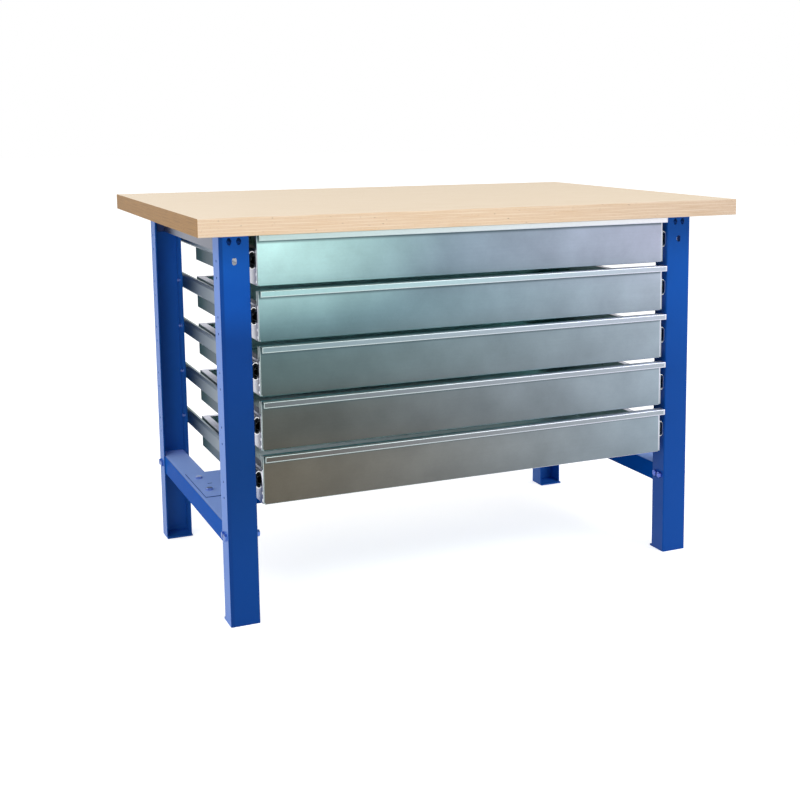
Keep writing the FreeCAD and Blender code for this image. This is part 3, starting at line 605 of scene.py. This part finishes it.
# A painted reflection: a pale aqua patch at the upper left.
reflection_map = add(tree, "ShaderNodeMapping", [("Vector", place),
               ("Location", (-reflection_middle.x, 0.0, -reflection_squash * reflection_middle.z)),
               ("Scale", (1.0, 0.0, reflection_squash))])
upper_left_reflection = add(tree, "ShaderNodeVectorMath", [(0, reflection_map.outputs[0])], operation="LENGTH")
upper_left_reflection = add(tree, "ShaderNodeMapRange", [("Value", upper_left_reflection.outputs["Value"]), ("From Max", reflection_reach),
                                        ("To Min", 1.0), ("To Max", 0.0)], interpolation_type="SMOOTHSTEP")
tone = add(tree, "ShaderNodeMix", [("Factor", upper_left_reflection.outputs[0]), ("A", tone.outputs[2]),
                                   ("B", linear("#bce4e2"))], data_type="RGBA")
# Heights within one drawer; each front is painted a little darker towards its foot, a painted shade, and
# faintly clouded.
above = add(tree, "ShaderNodeMath", [(0, axes.outputs["Z"]), (1, lowest.z)], operation="SUBTRACT")
above = add(tree, "ShaderNodeMath", [(0, above.outputs[0]), (1, drawer_pitch)], operation="FLOORED_MODULO")
foot_shade = add(tree, "ShaderNodeMapRange", [("Value", above.outputs[0]),
                                              ("From Max", front_height - lip_drop),
                                              ("To Min", 0.9), ("To Max", 1.11)])
clouds = add(tree, "ShaderNodeTexNoise", [("Vector", place), ("Scale", 1 / cloud), ("Detail", 3.0)])
clouds_and_foot_shade = add(tree, "ShaderNodeMapRange", [("Value", clouds.outputs[0]), ("From Min", 0.25),
                                               ("From Max", 0.75), ("To Min", 0.87), ("To Max", 1.13)])
clouds_and_foot_shade = add(tree, "ShaderNodeMath", [(0, clouds_and_foot_shade.outputs[0]), (1, foot_shade.outputs[0])],
                  operation="MULTIPLY")
tone = add(tree, "ShaderNodeVectorMath", [(0, tone.outputs[2]), ("Scale", clouds_and_foot_shade.outputs[0])],
           operation="SCALE")
on_lip = add(tree, "ShaderNodeMath", [(0, axes.outputs["Y"]), (1, lowest.y + grip_reach / 2)],
             operation="LESS_THAN")
# A painted shadow darkens the face just under the grip.
lip_shadow = add(tree, "ShaderNodeMapRange", [("Value", above.outputs[0]),
                                         ("From Min", front_height - lip_drop - lip_shadow_start),
                                         ("From Max", front_height - lip_drop - lip_shadow_end)])
lip_shadow = add(tree, "ShaderNodeMath", [(0, lip_shadow.outputs[0]), (1, on_lip.outputs[0])], operation="SUBTRACT")
lip_shadow = add(tree, "ShaderNodeMath", [(0, lip_shadow.outputs[0]), (1, 0.8)], operation="MULTIPLY", use_clamp=True)
tone = add(tree, "ShaderNodeMix", [("Factor", lip_shadow.outputs[0]), ("A", tone.outputs[0]),
                                   ("B", linear("#46575d"))], data_type="RGBA")
# The lips carry painted reflections: brightest on the upper drawer, still dull at the left of the lowest
# one.
lip_left = ramp(tree, up.outputs[0], (0.18, "#5a5651"), (0.38, "#656c6e"), (0.58, "#7f9499"),
                (0.78, "#a0c8c8"), (0.97, "#c2dcdc"))
lip_right = ramp(tree, up.outputs[0], (0.15, "#9aa3ac"), (0.78, "#b4bccb"), (0.97, "#f2f3fb"))
lip_tone = add(tree, "ShaderNodeMix", [("Factor", across.outputs[0]), ("A", lip_left), ("B", lip_right)],
               data_type="RGBA")
tone = add(tree, "ShaderNodeMix", [("Factor", on_lip.outputs[0]), ("A", tone.outputs[2]),
                                   ("B", lip_tone.outputs[2])], data_type="RGBA")
# Painted highlights brighten the folds and the lip's edges.
at_top = add(tree, "ShaderNodeMath", [(0, above.outputs[0]), (1, front_height - highlight_top)],
             operation="GREATER_THAN")
at_foot = add(tree, "ShaderNodeMath", [(0, above.outputs[0]), (1, highlight_foot)], operation="LESS_THAN")
at_hem = add(tree, "ShaderNodeMath", [(0, above.outputs[0]), (1, front_height - lip_drop + highlight_hem)],
             operation="LESS_THAN")
at_hem = add(tree, "ShaderNodeMath", [(0, at_hem.outputs[0]), (1, on_lip.outputs[0])], operation="MULTIPLY")
at_left = add(tree, "ShaderNodeMath", [(0, axes.outputs["X"]), (1, lowest.x + highlight_left)],
              operation="LESS_THAN")
at_right = add(tree, "ShaderNodeMath", [(0, axes.outputs["X"]), (1, highest.x - highlight_right)],
               operation="GREATER_THAN")
at_side = add(tree, "ShaderNodeMath", [(0, at_left.outputs[0]), (1, at_right.outputs[0])],
              operation="MAXIMUM")
fold_highlight = add(tree, "ShaderNodeMath", [(0, at_top.outputs[0]), (1, at_hem.outputs[0])], operation="MAXIMUM")
fold_highlight = add(tree, "ShaderNodeMath", [(0, fold_highlight.outputs[0]), (1, at_side.outputs[0])], operation="MAXIMUM")
fold_highlight = add(tree, "ShaderNodeMath", [(0, fold_highlight.outputs[0]), (1, at_foot.outputs[0])], operation="MAXIMUM")
fold_highlight = add(tree, "ShaderNodeMath", [(0, fold_highlight.outputs[0]), (1, 0.75)], operation="MULTIPLY")
highlight_tone = ramp(tree, across.outputs[0], (0.0, "#c9d9d7"), (1.0, "#dcdeeb"))
tone = add(tree, "ShaderNodeMix", [("Factor", fold_highlight.outputs[0]), ("A", tone.outputs[2]), ("B", highlight_tone)],
           data_type="RGBA")
# The back of the grip is painted greenish: a painted reflection of the shaded gap above it.
grip_reflection = add(tree, "ShaderNodeMath", [(0, at_top.outputs[0]), (1, on_lip.outputs[0])],
               operation="SUBTRACT")
grip_reflection = add(tree, "ShaderNodeMath", [(0, grip_reflection.outputs[0]), (1, 0.85)], operation="MULTIPLY",
               use_clamp=True)
grip_reflection_tone = ramp(tree, across.outputs[0], (0.0, "#84ccd0"), (0.6, "#7cbcc0"), (1.0, "#b0bcc8"))
tone = add(tree, "ShaderNodeMix", [("Factor", grip_reflection.outputs[0]), ("A", tone.outputs[2]),
                                   ("B", grip_reflection_tone)], data_type="RGBA")
zinc_skin(tree, output, place, tone.outputs[2], 0.38)

for i in drawers:
    low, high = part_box("drawer_front_%d" % i)
    piece = put(drawer_front(low, high), "drawer_front_folded_%d" % i, front_sheet, "drawer_%d" % i,
                "drawer_front_sheet", "drawer_front_%d" % i)
    # The sheet gets its thickness before its normals are weighted.
    thicken = piece.modifiers.new("sheet", "SOLIDIFY")
    thicken.thickness = front_wall
    thicken.offset = 0
    thicken.use_even_offset = True
    piece.modifiers.move(1, 0)

# ---------------------------------------------------------------- slides
# Three-part ball-bearing slides, roll formed from steel strip: a bright zinc plated outer member, middle
# and inner members painted dark as shade, and balls held in thin retainers.  The outer members are screwed
# inside the legs and the inner ones riveted to the trays.
# Zinc plating, painted near white at the open front ends, a painted highlight, and darker and greener
# towards the back, a painted shade inside the bench.
strip = zinc_along("Y", "zinc_plated_slide_strip", 0.34, (0.02, "#fafbfd"), (0.1, "#a3a8b4"),
                   (0.6, "#7b8a95"), (0.98, "#3c5a58"))
# Near black, a painted shade inside the slides, with a bluish cast on the right-hand slides, a painted
# reflection of the blue legs.
inner_strip = zinc_along("X", "shaded_slide_strip", 0.4, (0.1, "#24282c"), (0.9, "#24365c"))
# Ball and retainer steel, painted dark as a painted shade inside the slides and bluish on the right as a
# painted reflection, with small sharp highlights.
race = zinc_along("X", "shaded_ball_steel", 0.3, (0.1, "#303338"), (0.9, "#3a4766"))
for i in drawers:
    give(strip, "slide_outer_%d" % i)
    give(inner_strip, "slide_middle_%d" % i, "slide_inner_%d" % i)
    give(race, "slide_retainer_outer_%d" % i, "slide_retainer_inner_%d" % i)

# ---------------------------------------------------------------- fasteners
# M8 hexagon bolts and nuts hold the stretchers: blue-tinted zinc at the side stretchers, zinc with a
# painted bluish reflection at the centre one.  Small zinc-plated screws, nuts and rivets hold the slides
# and the drawers, and blued button-head screws hold the rails.
# Bright zinc plating: silver, with a cool blue cast painted in as a reflection of the blue frame.
plated = zinc_along("Y", "zinc_plated_fasteners", 0.3, (0.1, "#94a8dc"), (0.9, "#a4b6e4"))
give(plated, "worktop_screws", "slide_screws", "slide_nuts")
for i in drawers:
    give(strip, "drawer_rivets_%d" % i)


def solids_of(node):
    """Lowest and highest corner of each separate solid of a CAD node."""
    mesh = merged_copy(node)
    seen = set()
    boxes = []
    for first in mesh.verts:
        if first in seen:
            continue
        seen.add(first)
        island = [first]
        for vert in island:
            for edge in vert.link_edges:
                other = edge.other_vert(vert)
                if other not in seen:
                    seen.add(other)
                    island.append(other)
        low = Vector([min(vert.co[axis] for vert in island) for axis in range(3)])
        high = Vector([max(vert.co[axis] for vert in island) for axis in range(3)])
        boxes.append((low, high))
    mesh.free()
    return boxes


def hexagon_head(mesh, across_flats, height, seat, way):
    """Adds a hexagon head or nut, its corners chamfered at 30 degrees, from its seat along a direction."""
    flat = across_flats / 2
    top_radius = 0.95 * flat
    made = bmesh.ops.create_circle(mesh, cap_ends=True, segments=48, radius=1.0)["verts"]
    for vert in made:
        turn = math.atan2(vert.co.y, vert.co.x) % (math.pi / 3) - math.pi / 6
        vert.co = vert.co * flat / math.cos(turn)
    base = list(made[0].link_faces)
    risen = bmesh.ops.extrude_face_region(mesh, geom=base)["geom"]
    ring = [item for item in risen if isinstance(item, bmesh.types.BMVert)]
    top = [item for item in risen if isinstance(item, bmesh.types.BMFace)]
    for vert in ring:
        vert.co.z = height - (vert.co.xy.length - top_radius) * math.tan(math.radians(30))
    inner = bmesh.ops.extrude_face_region(mesh, geom=top)["geom"]
    crown = [item for item in inner if isinstance(item, bmesh.types.BMVert)]
    for vert in crown:
        vert.co.xy = vert.co.xy.normalized() * top_radius
        vert.co.z = height
    bmesh.ops.delete(mesh, geom=top, context="FACES_ONLY")
    turned = Vector((0, 0, 1)).rotation_difference(way).to_matrix().to_4x4()
    bmesh.ops.transform(mesh, matrix=Matrix.Translation(seat) @ turned, verts=made + ring + crown)


def thread_end(mesh, radius, start, way, length):
    """Adds a bolt's shank with a chamfered end."""
    turned = Vector((0, 0, 1)).rotation_difference(way).to_matrix().to_4x4()
    place = Matrix.Translation(start + way * length / 2) @ turned
    made = bmesh.ops.create_cone(mesh, cap_ends=True, segments=24, radius1=radius, radius2=radius,
                                 depth=length, matrix=place)["verts"]
    rim = [edge for edge in mesh.edges if edge.verts[0] in made and edge.verts[1] in made
           and all((vert.co - start).dot(way) > length - 0.01 * mm for vert in edge.verts)]
    bmesh.ops.bevel(mesh, geom=rim, offset=0.5 * mm, offset_type="OFFSET", segments=1, profile=0.5,
                    affect="EDGES", material=-1)


across_flats = 13 * mm
head_height = 5.3 * mm
shank_radius = 4 * mm
# Zinc with a blue tint, a little darker on the left legs.
blue_zinc = zinc_along("X", "blue_tinted_zinc", 0.3, (0.1, "#5f80c8"), (0.9, "#7286d8"))
# Heads stand on the bench's outer sides and nuts on its inner sides.
for name, axis, is_bolt, finish in (("side_stretcher_bolts", 0, True, blue_zinc),
                                    ("centre_stretcher_bolts", 2, True, plated),
                                    ("side_stretcher_nuts", 0, False, blue_zinc),
                                    ("centre_stretcher_nuts", 2, False, plated)):
    mesh = bmesh.new()
    for low, high in solids_of(name):
        seat = (low + high) / 2
        outer_side = 1 if seat[axis] > 0 else -1
        outwards = Vector((0, 0, 0))
        outwards[axis] = outer_side if is_bolt else -outer_side
        length = high[axis] - low[axis]
        height = head_height if is_bolt else length
        seat[axis] += outwards[axis] * (length / 2 - height)
        hexagon_head(mesh, across_flats, height, seat, outwards)
        if is_bolt:
            thread_end(mesh, shank_radius, seat, -outwards, length - height)
    bmesh.ops.recalc_face_normals(mesh, faces=mesh.faces)
    put(mesh, name + "_hexagon", finish, "frame", "plated_fasteners", name)

# Blued steel: a thin dark blue oxide, a little lighter where it is worn.
blued, tree, output = new_material("blued_steel")
place = add(tree, "ShaderNodeTexCoord").outputs["Object"]
wear = add(tree, "ShaderNodeTexNoise", [("Vector", place), ("Scale", 1 / (2 * mm)), ("Detail", 3.0)])
tone = ramp(tree, wear.outputs[0], (0.3, "#0a2658"), (0.7, "#12387a"))
gloss = add(tree, "ShaderNodeMapRange", [("Value", wear.outputs[0]), ("To Min", 0.4), ("To Max", 0.6)])
skin = add(tree, "ShaderNodeBsdfPrincipled", [("Base Color", tone), ("Metallic", 1.0),
           ("Roughness", gloss.outputs[0])])
tree.links.new(skin.outputs[0], output.inputs["Surface"])
give(blued, "top_rail_screws")
